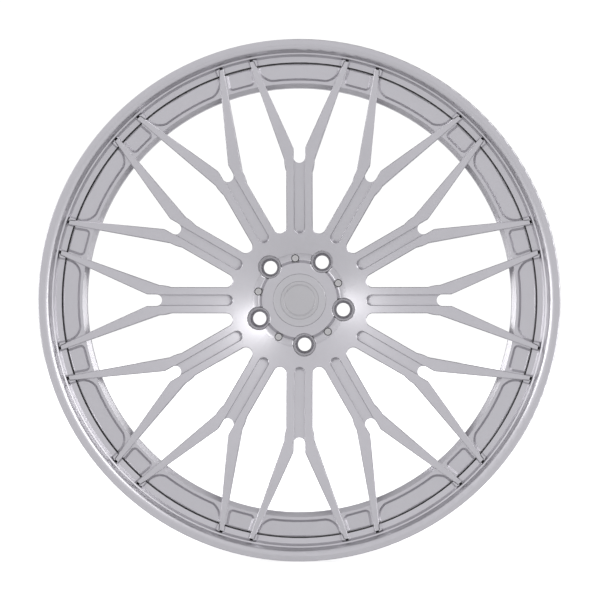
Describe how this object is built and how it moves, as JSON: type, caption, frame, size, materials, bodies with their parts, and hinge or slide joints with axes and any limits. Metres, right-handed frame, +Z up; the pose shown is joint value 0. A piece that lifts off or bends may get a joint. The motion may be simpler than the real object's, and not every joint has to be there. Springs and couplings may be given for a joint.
{
  "type": "forged racing wheel",
  "caption": "Three-piece forged racing wheel with split Y spokes, a stepped lip, a hub with a bolt circle, a snap-in centre cap and a hidden rear valve.",
  "frame": {"origin": "centre of the hub's mounting face, on the wheel's axis", "axes": "+Y along the wheel's axis towards the car, so the wheel's face looks along -Y; +Z up; +X to the right seen from the front"},
  "size_m": [0.6442, 0.283, 0.6442],
  "materials": {
    "disc_alloy": "satin machined forged alloy",
    "lip_alloy": "fine-turned satin alloy",
    "barrel_alloy": "turned satin alloy",
    "cap_alloy": "satin anodised",
    "badge_alloy": "fine-turned satin",
    "bolt_steel": "zinc-nickel plated",
    "washer_steel": "plain plated",
    "screw_steel": "stainless, satin",
    "spring_steel": "drawn wire",
    "valve_metal": "satin anodised",
    "valve_cap_alloy": "fluted, satin",
    "core_brass": "turned",
    "seal_rubber": "matte black"
  },
  "bodies": {
    "wheel": {"centre_disc": "disc_alloy", "outer_rim_half": "lip_alloy", "inner_rim_half": "barrel_alloy", "rim_seal": "seal_rubber", "rim_bolts": "bolt_steel", "bolt_washers": "washer_steel", "cap_carrier": "disc_alloy", "hub_screws": "screw_steel", "valve_stem": "valve_metal", "valve_grommet": "seal_rubber", "valve_washer": "washer_steel", "valve_nut": "valve_metal", "core_barrel": "core_brass", "core_spring": "spring_steel"},
    "centre_cap": {"cap_shell": "cap_alloy", "cap_wire": "spring_steel", "cap_badge": "badge_alloy"},
    "valve_pin": {"core_pin": "core_brass", "core_seal": "seal_rubber"},
    "cap_gasket": {"valve_cap_gasket": "seal_rubber"},
    "valve_cap": {"valve_cap": "valve_cap_alloy"}
  },
  "joints": [
    {"name": "cap_pull", "type": "slide", "parent": "wheel", "child": "centre_cap", "axis": [0, -1, 0], "range_m": [0, 0.022]},
    {"name": "valve_pin_press", "type": "slide", "parent": "wheel", "child": "valve_pin", "axis": [0, -1, 0], "range_m": [0, 0.0012], "stiffness_N_per_m": 300, "springref_m": -0.004, "deforming": ["core_spring"]},
    {"name": "valve_cap_lift", "type": "slide", "parent": "wheel", "child": "cap_gasket", "axis": [0, 1, 0], "range_m": [0, 0.00794]},
    {"name": "valve_cap_turn", "type": "hinge", "parent": "cap_gasket", "child": "valve_cap", "pos_m": [0, 0.02, -0.2916], "axis": [0, 1, 0], "range_deg": [0, 3600]}
  ],
  "couplings": [
    {"joint": "valve_cap_turn", "follows": "valve_cap_lift", "rad_per_m": 7913.3}
  ]
}
